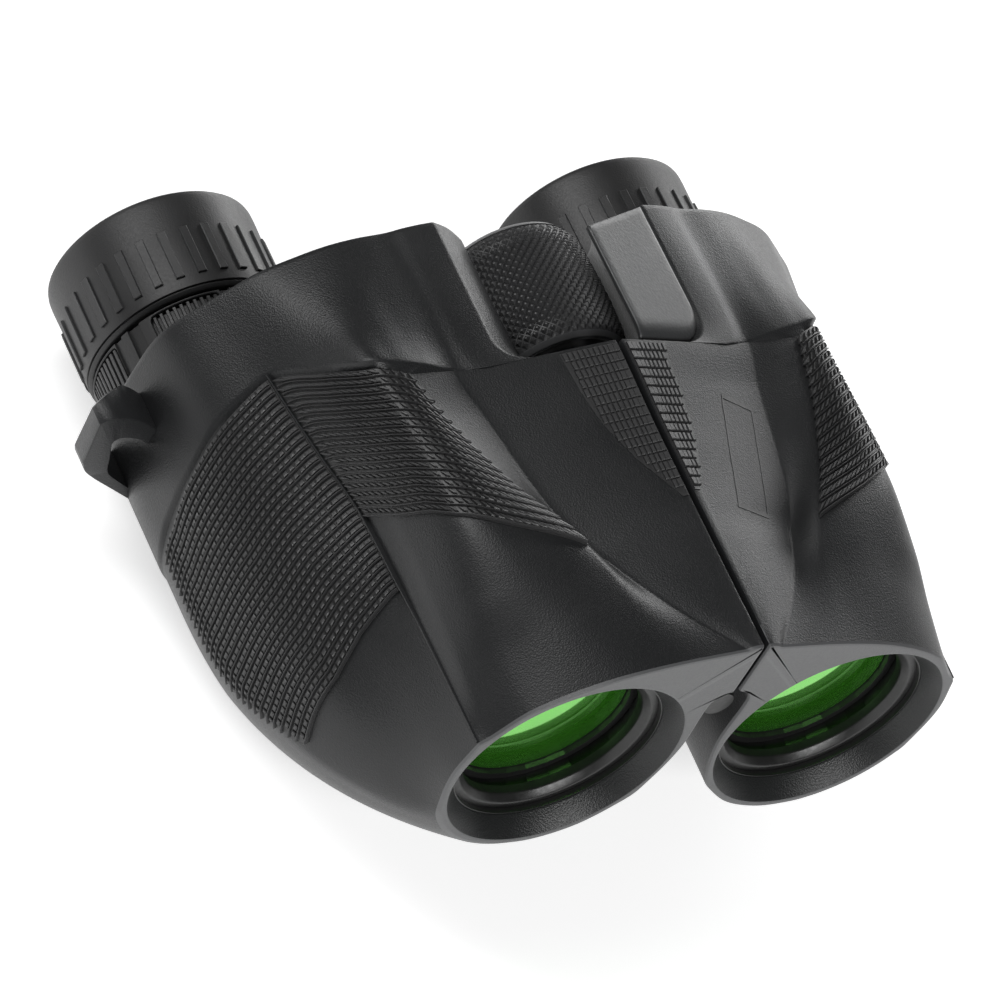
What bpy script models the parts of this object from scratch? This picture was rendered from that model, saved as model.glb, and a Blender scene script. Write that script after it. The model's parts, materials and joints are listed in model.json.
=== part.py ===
"""Compact folding binoculars, 12x25 class, modelled as they come apart on a bench.

Sizes below are millimetres in the optical layout frame: X to the user's left half,
Y from the objective face (0) towards the eyes, Z up from the top of the centre seam.
point() turns them into metres in the part's frame, whose origin is on the surface the
binoculars rest on, under the middle of their outer box.
The half on +X is the user's left; the half on -X is its mirror image.
"""
import math

import bmesh
import bpy
import numpy as np
from mathutils import Vector

MM = 0.001
LENGTH = 101.4                  # objective face to the rim of the lowered eyecups
REST_Z = -55.6                  # underside of the housings
SHIFT_X = 4.54                  # centres the box, which the one strap lug makes uneven
GAP = 0.3                       # fitted gap between neighbouring pieces

HINGE_Z = -15.0                 # fold axis and focus wheel axis, along Y at X = 0
SEAM_HALF = 0.4                 # half of the top seam's width
OBJECTIVE = (21.2, -23.0)       # objective axis in X, Z
EYEPIECE = (36.5, -39.5)        # eyepiece axis in X, Z
FRONT_R = 18.2                  # round front of the housing
REAR_R = 16.3                   # round rear of the housing, about the eyepiece axis
FLAT_HALF_ANGLE = 8.9           # degrees each way of the flat runner under each half
BORE_R = 17.0                   # mouth of the front bore
BORE_INNER_R = 15.04            # end of the bore's chamfer
CHAMFER_DEPTH = 2.76
FRONT_WALL = 6.0
SKIN = 2.0                      # wall of the housing
REAR_Y = 76.0                   # rear rim of the housing
STEP_Y = 51.2                   # raised rear band starts here
POCKET_Y = 51.0                 # front of the wheel pocket
POCKET_CORNER = 4.8
POCKET_HALF = 17.0              # pocket half width at the top edge
POCKET_LOW = 12.7               # and beside the wheel, below the sloping lip

WHEEL_Y = (56.4, 76.6)
WHEEL_R = 11.4
WHEEL_RIM_R = 10.6
EYECUP_Y = 84.6
EYECUP_R = 15.5
RING_Y = (76.6, 84.2)
RING_R = 15.0
TUBE_R = 12.0
PLATE_X = (4.6, 16.2)
PLATE_Y = (51.6, 71.0, 75.2)     # front, rear left corner, rear right corner
PLATE_CORNER = 4.8
PRISM_WIDTH = 10.4
SHELF_Y = 57.6

LEFT, RIGHT = 1, -1
SIDE_NAME = {LEFT: "left", RIGHT: "right"}

FINISHES = {
    "housing": ((0.030, 0.031, 0.033), 0.55, 0.0),
    "grip": ((0.020, 0.020, 0.021), 0.75, 0.0),
    "satin": ((0.060, 0.061, 0.063), 0.40, 0.0),
    "rubber": ((0.018, 0.018, 0.019), 0.80, 0.0),
    "lens_green": ((0.10, 0.42, 0.06), 0.05, 0.0),
    "lens_clear": ((0.55, 0.62, 0.70), 0.05, 0.0),
    "inner_black": ((0.010, 0.010, 0.010), 0.45, 0.0),
    "steel": ((0.55, 0.56, 0.58), 0.30, 1.0),
}


# ---------------------------------------------------------------- helpers

def clear_scene():
    for obj in list(bpy.data.objects):
        bpy.data.objects.remove(obj, do_unlink=True)


def point(x, y, z):
    return Vector((x * MM, (y - LENGTH / 2) * MM, (z - REST_Z) * MM))


def make_collection(name):
    collection = bpy.data.collections.new(name)
    bpy.context.scene.collection.children.link(collection)
    return collection


def finish_material(name):
    if name in bpy.data.materials:
        return bpy.data.materials[name]
    colour, roughness, metallic = FINISHES[name]
    material = bpy.data.materials.new(name)
    material.use_nodes = True
    shader = material.node_tree.nodes["Principled BSDF"]
    shader.inputs["Base Color"].default_value = (*colour, 1.0)
    shader.inputs["Roughness"].default_value = roughness
    shader.inputs["Metallic"].default_value = metallic
    return material


def add_object(name, bm, finish, side=LEFT, collection=None):
    """Make one named object from a bmesh; side RIGHT mirrors it in X."""
    if side == RIGHT:
        bmesh.ops.scale(bm, vec=(-1, 1, 1), verts=bm.verts)
        bmesh.ops.reverse_faces(bm, faces=bm.faces)
    bmesh.ops.translate(bm, vec=(SHIFT_X * MM, 0, 0), verts=bm.verts)
    mesh = bpy.data.meshes.new(name)
    bm.to_mesh(mesh)
    bm.free()
    mesh.shade_smooth()
    mesh.set_sharp_from_angle(angle=math.radians(35))
    mesh.materials.append(finish_material(finish))
    obj = bpy.data.objects.new(name, mesh)
    (collection or PARTS).objects.link(obj)
    return obj


def cut(obj, *cutters):
    """Subtract closed cutters from obj with exact booleans."""
    for cutter in cutters:
        cutter.hide_render = True
        cutter.display_type = "WIRE"
        modifier = obj.modifiers.new("cut_" + cutter.name, "BOOLEAN")
        modifier.operation = "DIFFERENCE"
        modifier.solver = "EXACT"
        modifier.object = cutter
    return obj


def loft(rings):
    """Closed solid through rings of equal point counts, each a list of Vectors."""
    bm = bmesh.new()
    loops = [[bm.verts.new(p) for p in ring] for ring in rings]
    count = len(loops[0])
    for near, far in zip(loops, loops[1:]):
        for i in range(count):
            j = (i + 1) % count
            bm.faces.new((near[i], near[j], far[j], far[i]))
    bm.faces.new(list(reversed(loops[0])))
    bm.faces.new(loops[-1])
    bmesh.ops.recalc_face_normals(bm, faces=bm.faces)
    return bm


def turned(profile, axis, segments=32):
    """Solid of revolution about a line along Y; profile is closed, of (y, radius)."""
    bm = bmesh.new()
    rows = []
    for y, radius in profile:
        if radius < 1e-6:
            rows.append([bm.verts.new(point(axis[0], y, axis[1]))])
            continue
        rows.append([bm.verts.new(point(axis[0] + radius * math.cos(a), y,
                                        axis[1] + radius * math.sin(a)))
                     for a in (2 * math.pi * i / segments for i in range(segments))])
    pairs = list(zip(rows, rows[1:] + rows[:1]))
    for near, far in pairs:
        if len(near) == 1 and len(far) == 1:
            continue
        for i in range(segments):
            j = (i + 1) % segments
            quad = [near[i % len(near)], near[j % len(near)],
                    far[j % len(far)], far[i % len(far)]]
            bm.faces.new(list(dict.fromkeys(quad)))
    bmesh.ops.recalc_face_normals(bm, faces=bm.faces)
    return bm


def prism(outline, plane, span):
    """Extrude an outline of layout points between two levels of the third axis.

    plane is "xz" (extruded along Y) or "xy" (along Z) or "yz" (along X).
    """
    place = {"xz": lambda p, t: point(p[0], t, p[1]),
             "xy": lambda p, t: point(p[0], p[1], t),
             "yz": lambda p, t: point(t, p[0], p[1])}[plane]
    return loft([[place(p, t) for p in outline] for t in span])


def arc(centre, radius, start, end, count):
    """Points on a circular arc in degrees, both ends included."""
    angles = [math.radians(start + (end - start) * i / (count - 1)) for i in range(count)]
    return [(centre[0] + radius * math.cos(a), centre[1] + radius * math.sin(a))
            for a in angles]


# ---------------------------------------------------------------- housing skin

def along(y, *stations):
    """Value at y from hand-placed (y, value) stations, straight between them."""
    return float(np.interp(y, [s[0] for s in stations], [s[1] for s in stations]))


def lower_circle(y):
    """Centre and radius of the round underside: objective at the front, eyepiece behind."""
    share = 1.0 - max(0.0, 1.0 - y / 50.0) ** 2.6
    x = OBJECTIVE[0] + (EYEPIECE[0] - OBJECTIVE[0]) * share
    z = OBJECTIVE[1] + (EYEPIECE[1] - OBJECTIVE[1]) * share
    return (x, z), FRONT_R + (REAR_R - FRONT_R) * share


def inner_edge(y, pocket_y):
    """Corner tracks on the side that faces the hinge: seam, or the wheel's pocket."""
    if y < pocket_y:
        seam_z = along(y, (0, -0.1), (36, 0.4), (50, 1.0))
        return [(5.4, -32.1), (3.0, -23.0), (3.1, -13.2), (2.4, -11.4),
                (SEAM_HALF, -10.4), (SEAM_HALF, seam_z)]
    run = min(y - pocket_y, POCKET_CORNER)
    rounding = POCKET_CORNER - math.sqrt(POCKET_CORNER ** 2 - (POCKET_CORNER - run) ** 2)
    top = POCKET_HALF - rounding
    low = POCKET_LOW - rounding
    return [(low + 0.4, -34.5), (low, -25.0), (low, -15.0), (low - 0.3, -11.3),
            (low - 2.0, -7.0), (top, 1.0 - 0.19 * top)]


def section(y, pocket_y=POCKET_Y, step_y=STEP_Y):
    """Outer skin of the +X half at y: a closed ring of (x, z), seam first."""
    inner = inner_edge(y, pocket_y)
    banded = y >= step_y
    valley = (along(y, (0, 7), (5, 8), (10, 10.5), (17, 13.7), (23, 16.6), (30, 18.7),
                    (44, 22.1), (52, 23.9), (76, 24)),
              along(y, (0, -0.9), (5, -1.3), (10, -2.3), (17, -3.4), (23, -4.2),
                    (44, -4.0), (52, -3.7), (76, -3.9)))
    crest = (along(y, (0, 14), (10, 16), (20, 19), (33, 25.7), (51, 31.5), (76, 30)),
             along(y, (50, -2.3), (56, -2.6), (64, -3.8), (76, -4.7)) if banded else
             along(y, (0, -1.9), (10, -1.6), (20, -1.1), (33, -2.3), (51, -3.1)))
    top = (along(y, (0, 24.0), (10, 26.5), (25, 30), (51, 33.2), (76, 33)),
           along(y, (50, -2.4), (56, -2.9), (64, -4.2), (76, -5.8)) if banded else
           along(y, (0, -4.3), (10, -3.0), (25, -1.3), (51, -2.6)))
    shoulder = (along(y, (0, 35.1), (16, 36.0), (28, 34.8), (51, 35.4), (76, 37.0)),
                along(y, (0, -11.3), (9, -9.6), (16, -6.9), (28, -3.3), (51, -3.3),
                      (76, -8.0)))
    brow = (along(y, (0, 36.9), (20, 37.9), (45, 38.4), (57, 39.4), (76, 41.5)),
            along(y, (0, -13.7), (20, -9.0), (57, -7.4), (76, -10.6)))
    ridge = (along(y, (0, 38.3), (17, 38.6), (37, 39.3), (49, 41.6), (62, 43.8),
                   (76, 45.6)), -15.0)
    side = (along(y, (0, 39.35), (20, 43.0), (32, 45.2), (49, 47.8), (76, 51.3)), -22.0)
    flank = (along(y, (0, 38.0), (10, 43.5), (20, 47.4), (32, 49.8), (50, 51.8),
                   (76, 52.7)), -30.0)
    centre, radius = lower_circle(y)
    start = along(y, (0, -30), (30, -5), (50, 4))
    round_side = arc(centre, radius, start, FLAT_HALF_ANGLE - 90, 7)
    round_under = arc(centre, radius, -FLAT_HALF_ANGLE - 90, -140, 3)
    belly = [(x, max(z, REST_Z)) for x, z in round_side + round_under]
    mid = ((inner[-1][0] + valley[0]) / 2, (inner[-1][1] + valley[1]) / 2 + 0.2)
    return [inner[-1], mid, valley, crest, top, shoulder, brow, ridge, side, flank,
            *belly, *inner[:-1]]


def inset(ring, depth):
    """Move a closed clockwise ring inwards by depth."""
    count = len(ring)
    result = []
    for i in range(count):
        before, here, after = (Vector(ring[(i + k) % count]) for k in (-1, 0, 1))
        first = (here - before).normalized()
        second = (after - here).normalized()
        normal = Vector((first.y, -first.x)) + Vector((second.y, -second.x))
        normal.normalize()
        reach = depth / max(0.5, normal.dot(Vector((first.y, -first.x))))
        result.append(tuple(here + normal * reach))
    return result


STATIONS = (0, 4, 9, 15, 22, 30, 38, 45, STEP_Y - 0.4, STEP_Y, 52.5, 54.5, 57, 62, 69, REAR_Y)


def housing(side):
    name = SIDE_NAME[side] + "_housing"
    rings = [[point(x, y, z) for x, z in section(y)] for y in STATIONS]
    shell = add_object(name, loft(rings), "housing", side)
    stations = (FRONT_WALL, 9, 15, 22, 30, 38, 45, 48.9, 49.2, 50.5, 52.5, 53.1, 53.3, 57,
                62, 69, REAR_Y + 1)
    hollow_rings = [[point(x, y, z) for x, z in
                     inset(section(min(y, REAR_Y), POCKET_Y - SKIN, STEP_Y + SKIN), SKIN)]
                    for y in stations]
    hollow = add_object(name + "_hollow", loft(hollow_rings), "housing", side, CUTTERS)
    bore = add_object(name + "_bore", turned(
        [(-1, 0), (-1, BORE_R + 0.71), (CHAMFER_DEPTH, BORE_INNER_R),
         (FRONT_WALL + 2, BORE_INNER_R), (FRONT_WALL + 2, 0)], OBJECTIVE, 40),
        "housing", side, CUTTERS)
    chamber = add_object(name + "_chamber", turned(
        [(38, 0), (38, 7.4), (48.6, 7.4), (48.6, 0)], (0, HINGE_Z), 24),
        "housing", side, CUTTERS)
    shaft_hole = add_object(name + "_shaft_hole", turned(
        [(45, 0), (45, 4.4), (58, 4.4), (58, 0)], (0, HINGE_Z), 24),
        "housing", side, CUTTERS)
    return cut(shell, hollow, bore, chamber, shaft_hole)


def rear_plate(side):
    """Plate that closes the housing's rear, bored for the eyepiece tube."""
    name = SIDE_NAME[side] + "_rear_plate"
    outline = inset(section(74), SKIN + GAP)
    plate = add_object(name, prism(outline, "xz", (73.0, 74.7)), "housing", side)
    bore = add_object(name + "_bore", turned([(70, 0), (70, 10.5), (77, 10.5), (77, 0)],
                                             EYEPIECE, 32), "housing", side, CUTTERS)
    cut(plate, bore)
    add_object(SIDE_NAME[side] + "_plate_screw", turned(
        [(74.95, 0), (74.95, 1.4), (75.7, 1.2), (75.7, 0)], (21, -10), 12), "steel", side)


def skin_patch(tracks, stations, lift, thickness):
    """Closed pad that follows part of the housing's skin, lifted clear of it."""
    rings = []
    for y in stations:
        ring = section(y)
        low = inset(ring, -lift)
        high = inset(ring, -lift - thickness)
        rings.append([point(*low[i][:1], y, low[i][1]) for i in tracks]
                     + [point(*high[i][:1], y, high[i][1]) for i in reversed(tracks)])
    return loft(rings)


def grips(side):
    name = SIDE_NAME[side]
    add_object(name + "_upper_grip", skin_patch((3, 4, 5, 6), (24, 30, 38, 45, STEP_Y - 0.7),
                                                0.25, 0.6), "grip", side)
    add_object(name + "_side_grip", skin_patch((8, 9, 10, 11, 12), (20, 30, 38, 45, STEP_Y - 0.7),
                                               0.25, 0.6), "grip", side)
    leaf = [(0.9, 26.5), (4.6, 33), (7.2, 41), (8.4, 50.4), (0.9, 50.4)]
    bm = prism(leaf, "xy", (1.0, 1.5))
    for vertex in bm.verts:
        x, y = vertex.co.x / MM, vertex.co.y / MM + LENGTH / 2
        seam_z = along(y, (0, -0.1), (36, 0.4), (50, 1.0))
        vertex.co.z += (seam_z - 0.8 + 0.28 - 0.19 * x) * MM
    add_object(name + "_centre_grip", bm, "grip", side)


def strap_lug(side):
    """Loop for a wrist strap; its rear face leans forward towards the outside."""
    name = SIDE_NAME[side] + "_strap_lug"
    outline = [*arc(EYEPIECE, 16.75, -29, 0, 4), (53.3, -31.0), (56.9, -28.4), (60.4, -27.5),
               (62.7, -28.6), (62.0, -37.3), (59.3, -40.8), (52.6, -46.8)]
    lug = add_object(name, prism(outline, "xz", (66.2, 72.6)), "housing", side)
    slot = [(54.2, -32.8), (58.6, -32.6), (58.6, -37.4), (57.2, -40.2), (54.2, -42.6)]
    lean = [(55.0, 73.2), (64.0, 68.6), (64.0, 75.0), (55.0, 75.0)]
    cut(lug, add_object(name + "_slot", prism(slot, "xz", (64, 75)), "housing", side, CUTTERS),
        add_object(name + "_lean", prism(lean, "xy", (-60, -20)), "housing", side, CUTTERS))


def lens_profile(front, back, radius, front_sag, back_sag, steps=4):
    """Closed profile of a lens from its two vertices and their sags at the edge."""
    rise = [(i / steps) for i in range(steps + 1)]
    face = [(front + front_sag * t * t, radius * t) for t in rise]
    rear = [(back - back_sag * t * t, radius * t) for t in reversed(rise)]
    return face + rear


def objective(side):
    name = SIDE_NAME[side]
    add_object(name + "_objective_ring", turned(
        [(3.9, 14.7), (3.9, 13.84), (4.8, 12.82), (5.9, 12.82), (5.9, 14.7)],
        OBJECTIVE, 40), "inner_black", side)
    add_object(name + "_objective_tube", turned(
        [(6.2, 14.75), (6.2, 14.15), (18.4, 14.15), (18.4, 14.75)], OBJECTIVE, 28),
        "inner_black", side)
    add_object(name + "_objective_cell", turned(
        [(7.8, 13.9), (7.8, 12.75), (20, 12.75), (20, 13.9)], OBJECTIVE, 28),
        "inner_black", side)
    add_object(name + "_objective_lens", turned(
        lens_profile(7.5, 12.6, 12.5, 1.1, 0.9), OBJECTIVE, 28), "lens_green", side)
    reach = [(9.0, 20.4), (11.0, 20.4), (11.0, 46.0), (5.95, 46.0)]
    if side == LEFT:
        arm = [*reach, (5.95, 43.0), (9.0, 43.0)]
    else:
        arm = [*reach, (5.95, 44.8), (4.9, 44.8), (4.9, 44.2), (5.95, 44.2), (5.95, 43.0),
               (9.0, 43.0)]
    add_object(name + "_focus_arm", prism(arm, "xy", (HINGE_Z - 1, HINGE_Z + 1)), "steel", side)


def prisms(side):
    name = SIDE_NAME[side]
    half = PRISM_WIDTH / 2
    middle, reach, face = 28.5, 12.4, SHELF_Y + 1.2
    add_object(name + "_objective_prism", prism(
        [(middle - reach, face), (middle + reach, face), (middle, face + reach)],
        "xy", (OBJECTIVE[1] - half, OBJECTIVE[1] + half)), "lens_clear", side)
    middle_z, reach_z, face_b = (OBJECTIVE[1] + EYEPIECE[1]) / 2, 14.0, SHELF_Y - 1.2
    add_object(name + "_eyepiece_prism", prism(
        [(face_b, middle_z + reach_z), (face_b, middle_z - reach_z), (face_b - reach_z, middle_z)],
        "yz", (36.2 - half, 36.2 + half)), "lens_clear", side)
    ring = inset(section(SHELF_Y, POCKET_Y - SKIN, STEP_Y + SKIN), SKIN + GAP)
    shelf = add_object(name + "_prism_shelf", prism(ring, "xz", (SHELF_Y - 0.8, SHELF_Y + 0.8)),
                       "inner_black", side)
    for tag, (x, z) in (("entry", OBJECTIVE), ("middle", (EYEPIECE[0], OBJECTIVE[1])),
                        ("exit", EYEPIECE)):
        cut(shelf, add_object(name + "_shelf_" + tag, turned(
            [(50, 0), (50, 4.9), (65, 4.9), (65, 0)], (x, z), 20), "housing", side, CUTTERS))
    near, far = 0.45, 0.95
    strap = [(middle - reach - near, face), (middle, face + reach + near),
             (middle + reach + near, face), (middle + reach + far, face),
             (middle, face + reach + far), (middle - reach - far, face)]
    add_object(name + "_prism_clip", prism(strap, "xy", (OBJECTIVE[1] - 2, OBJECTIVE[1] + 2)),
               "steel", side)


def eyepiece(side):
    name = SIDE_NAME[side]
    add_object(name + "_eyepiece_tube", turned(
        [(61, 10.2), (61, 9.0), (96, 9.0), (96, TUBE_R), (76.3, TUBE_R), (76.3, 13.8),
         (75.0, 13.8), (75.0, 10.2)], EYEPIECE, 28), "inner_black", side)
    add_object(name + "_ocular_cell", turned(
        [(66, 8.8), (66, 7.9), (95, 7.9), (95, 8.8)], EYEPIECE, 24), "inner_black", side)
    add_object(name + "_field_lens", turned(
        lens_profile(68, 71.5, 7.6, 0.7, 0.7, 3), EYEPIECE, 24), "lens_clear", side)
    add_object(name + "_eye_lens", turned(
        lens_profile(89, 94, 7.6, 0.9, 0.6, 3), EYEPIECE, 24), "lens_clear", side)
    ring = "diopter_ring" if side == RIGHT else "left_base_ring"
    add_object(ring, turned([(RING_Y[0], 12.3), (RING_Y[1], 12.3), (RING_Y[1], RING_R),
                             (RING_Y[0], RING_R)], EYEPIECE, 40), "rubber", side)
    add_object(name + "_eyecup_guide", turned(
        [(86, 12.3), (94, 12.3), (94, 13.1), (86, 13.1)], EYEPIECE, 28), "inner_black", side)
    add_object(name + "_eyecup", turned(
        [(EYECUP_Y, EYECUP_R), (EYECUP_Y, 13.4), (97, 13.4), (97, 10.6), (100.6, 11.8),
         (LENGTH, 13.2), (LENGTH, 14.6), (100.6, EYECUP_R)], EYEPIECE, 40), "rubber", side)


def knuckles(side):
    """Two hinge knuckles of one half, interleaved with the other half's."""
    starts = {LEFT: (4.0, 20.4), RIGHT: (12.2, 28.6)}[side]
    outline = [(2.75, HINGE_Z - 2.2), *reversed(arc((0, HINGE_Z), 2.4, 95, 265, 9)),
               (2.75, HINGE_Z + 2.2)]
    for place, start in zip(("front", "rear"), starts):
        name = f"{SIDE_NAME[side]}_{place}_knuckle"
        knuckle = add_object(name, prism(outline, "xz", (start, start + 7.8)), "steel", side)
        cut(knuckle, add_object(name + "_bore", turned(
            [(0, 0), (0, 1.7), (40, 1.7), (40, 0)], (0, HINGE_Z), 20), "steel", LEFT, CUTTERS))


def centre_parts():
    axis = (0, HINGE_Z)
    add_object("hinge_axle", turned([(3.2, 0), (3.2, 1.4), (36.9, 1.4), (36.9, 0)], axis, 20),
               "steel")
    add_object("hinge_cap", turned([(1.4, 0), (1.4, 2.2), (2.9, 2.4), (2.9, 0)], axis, 20),
               "inner_black")
    add_object("focus_screw", turned([(39.0, 0), (39.0, 2.3), (56.1, 2.3), (56.1, 0)], axis, 20),
               "steel")
    add_object("focus_disc", turned(
        [(43.0, 2.7), (46.0, 2.7), (46.0, 5.6), (45.1, 5.6), (45.1, 4.6), (43.9, 4.6),
         (43.9, 5.6), (43.0, 5.6)], axis, 24), "steel")
    add_object("wheel_bushing", turned([(48.8, 2.6), (51.6, 2.6), (51.6, 4.1), (48.8, 4.1)],
                                       axis, 20), "steel")
    front, rear = WHEEL_Y
    add_object("focus_hub", turned(
        [(front, 0), (front, 10.4), (front + 0.5, WHEEL_RIM_R), (front + 0.5, 8.7),
         (rear - 0.5, 8.7), (rear - 0.5, WHEEL_RIM_R), (rear, 10.4), (rear, 0)], axis, 36),
        "rubber")
    add_object("focus_wheel_grip", turned(
        [(front + 0.8, 9.0), (rear - 0.8, 9.0), (rear - 0.8, 10.7), (rear - 3, 11.1),
         ((front + rear) / 2, WHEEL_R), (front + 3, 11.1), (front + 0.8, 10.7)], axis, 40),
        "rubber")
    left, right = PLATE_X
    front, rear_left, rear_right = PLATE_Y
    corner = arc((right - PLATE_CORNER, front + PLATE_CORNER), PLATE_CORNER, -90, 0, 6)
    outline = [(left, front), *corner, (right, rear_right), (left, rear_left)]
    bm = prism(outline, "xy", (-0.2, 0.5))
    for vertex in bm.verts:
        vertex.co.z -= 0.17 * (vertex.co.x - left * MM)
    add_object("cover_plate", bm, "satin")


def build():
    for side in (LEFT, RIGHT):
        housing(side)
        rear_plate(side)
        grips(side)
        objective(side)
        prisms(side)
        eyepiece(side)
        knuckles(side)
    strap_lug(RIGHT)
    centre_parts()


clear_scene()
PARTS = make_collection("binoculars")
CUTTERS = make_collection("cutters")
build()
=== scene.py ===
"""Compact folding binoculars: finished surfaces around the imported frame.

Layout millimetres: X to the user's left half, Y from the objective faces (0) towards the
eyes, Z up from the top of the centre seam. place() turns them into the row frame's metres.
The +X half is built and mirrored for the -X half.
"""
import json
import math

import bmesh
import bpy
import numpy as np
from mathutils import Matrix, Vector


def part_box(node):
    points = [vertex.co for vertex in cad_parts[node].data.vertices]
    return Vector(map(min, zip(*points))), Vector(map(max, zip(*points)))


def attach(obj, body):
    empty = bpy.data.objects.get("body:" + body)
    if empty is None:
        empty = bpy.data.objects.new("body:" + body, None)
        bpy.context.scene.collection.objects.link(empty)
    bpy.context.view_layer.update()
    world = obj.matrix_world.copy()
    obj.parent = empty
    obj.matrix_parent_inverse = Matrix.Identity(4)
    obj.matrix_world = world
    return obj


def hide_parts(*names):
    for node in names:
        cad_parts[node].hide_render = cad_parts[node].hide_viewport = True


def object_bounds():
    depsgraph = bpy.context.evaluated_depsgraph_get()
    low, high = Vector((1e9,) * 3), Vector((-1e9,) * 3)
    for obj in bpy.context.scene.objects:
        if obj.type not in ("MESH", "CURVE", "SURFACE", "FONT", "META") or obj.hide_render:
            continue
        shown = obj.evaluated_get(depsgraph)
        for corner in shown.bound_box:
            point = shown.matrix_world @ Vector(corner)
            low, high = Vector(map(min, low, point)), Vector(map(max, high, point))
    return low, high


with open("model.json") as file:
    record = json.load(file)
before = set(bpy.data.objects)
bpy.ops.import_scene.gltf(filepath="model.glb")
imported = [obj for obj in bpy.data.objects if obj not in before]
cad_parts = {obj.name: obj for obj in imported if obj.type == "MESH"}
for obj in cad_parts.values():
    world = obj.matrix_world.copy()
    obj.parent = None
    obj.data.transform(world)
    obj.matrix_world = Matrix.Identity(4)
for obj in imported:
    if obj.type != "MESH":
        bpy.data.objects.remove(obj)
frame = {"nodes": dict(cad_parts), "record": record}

CAD_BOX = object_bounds()
MM = 0.001
LENGTH = 101.4
REST_Z = -55.6
SHIFT_X = 4.54                   # centres the box; only one half has a strap lug
HINGE_Z = -15.0
OBJECTIVE = (21.2, -23.0)
EYEPIECE = (36.5, -39.5)
REAR_Y = 76.0
POCKET_Y = 51.0
POCKET_HALF = 17.0
POCKET_CORNER = 5.0
BORE_R, BORE_INNER_R, CHAMFER_DEPTH = 17.0, 15.04, 2.76
LEFT, RIGHT = 1, -1
NAME = {LEFT: "left", RIGHT: "right"}
BODY = {LEFT: "left_half", RIGHT: "right_half"}
NODES = frame["nodes"]


# ---------------------------------------------------------------- small helpers

def place(points):
    """Layout millimetres, any array ending in 3, to the row frame's metres."""
    p = np.asarray(points, float)
    return np.stack([(p[..., 0] + SHIFT_X) * MM, (p[..., 1] - LENGTH / 2) * MM,
                     (p[..., 2] - REST_Z) * MM], -1)


def depths(low, high):
    """Layout y of a frame box's front and rear faces."""
    return low.y / MM + LENGTH / 2, high.y / MM + LENGTH / 2


def half_height(low, high):
    return (high.z - low.z) / MM / 2


def flat_z(x):
    """Height of the sloping top flat beside the wheel pocket."""
    return 1.0 - 0.19 * x


def curve(stations, at):
    """Smooth curve through (position, value) stations that never overshoots them."""
    xs = np.array([s[0] for s in stations], float)
    ys = np.array([s[1] for s in stations], float)
    at = np.clip(np.asarray(at, float), xs[0], xs[-1])
    if len(xs) == 2:
        return np.interp(at, xs, ys)
    h, slope = np.diff(xs), np.diff(ys) / np.diff(xs)
    tangent = np.zeros(len(xs))
    same = slope[:-1] * slope[1:] > 0
    w1, w2 = 2 * h[1:] + h[:-1], h[1:] + 2 * h[:-1]
    with np.errstate(divide="ignore", invalid="ignore"):
        mean = (w1 + w2) / (w1 / slope[:-1] + w2 / slope[1:])
    tangent[1:-1][same] = mean[same]
    tangent[0], tangent[-1] = slope[0], slope[-1]
    i = np.clip(np.searchsorted(xs, at) - 1, 0, len(h) - 1)
    t = (at - xs[i]) / h[i]
    return (ys[i] * (1 + 2 * t) * (1 - t) ** 2 + tangent[i] * h[i] * t * (1 - t) ** 2
            + ys[i + 1] * t * t * (3 - 2 * t) + tangent[i + 1] * h[i] * t * t * (t - 1))


def make(name, verts, faces, side=LEFT, smooth_angle=35.0):
    """Object from layout-millimetre vertices; RIGHT mirrors it."""
    verts = np.array(verts, float)
    if side == RIGHT:
        verts = verts * (-1, 1, 1)
    mesh = bpy.data.meshes.new(name)
    mesh.from_pydata(place(verts).tolist(), [], [list(f) for f in faces])
    bm = bmesh.new()
    bm.from_mesh(mesh)
    bmesh.ops.remove_doubles(bm, verts=bm.verts, dist=1e-7)
    bmesh.ops.dissolve_degenerate(bm, edges=bm.edges, dist=1e-8)
    bmesh.ops.recalc_face_normals(bm, faces=bm.faces)
    bm.to_mesh(mesh)
    bm.free()
    mesh.shade_smooth()
    mesh.set_sharp_from_angle(angle=math.radians(smooth_angle))
    obj = bpy.data.objects.new(name, mesh)
    bpy.context.scene.collection.objects.link(obj)
    return obj


def finish_piece(obj, body, material, slot, *replaced):
    obj.data.materials.clear()
    obj.data.materials.append(material)
    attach(obj, body)
    if replaced:
        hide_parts(*replaced)
    return obj


class Shell:
    """Vertices and faces gathered for one object."""

    def __init__(self):
        self.verts, self.faces = [], []

    def grid(self, points, wrap=False):
        """Quads over points[row][column]; wrap closes the columns."""
        points = np.asarray(points, float)
        rows, cols = points.shape[:2]
        base = len(self.verts)
        self.verts.extend(points.reshape(-1, 3))
        for r in range(rows - 1):
            for c in range(cols if wrap else cols - 1):
                n = (c + 1) % cols
                self.faces.append((base + r * cols + c, base + r * cols + n,
                                   base + (r + 1) * cols + n, base + (r + 1) * cols + c))
        return base

    def slab(self, low, high):
        """Closed slab between two grids of equal shape."""
        low, high = np.asarray(low, float), np.asarray(high, float)
        self.grid(low)
        self.grid(high)
        for edge in (np.s_[0, :], np.s_[-1, :], np.s_[:, 0], np.s_[:, -1]):
            self.grid(np.stack([low[edge], high[edge]]))

    def pad(self, rings):
        """Closed prism through rings of equal counts, capped at both ends."""
        count = len(rings[0])
        base = self.grid(np.asarray(rings, float), wrap=True)
        last = base + (len(rings) - 1) * count
        self.faces.append(tuple(base + i for i in reversed(range(count))))
        self.faces.append(tuple(last + i for i in range(count)))

    def object(self, name, side=LEFT, smooth_angle=35.0):
        return make(name, self.verts, self.faces, side, smooth_angle)


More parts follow.
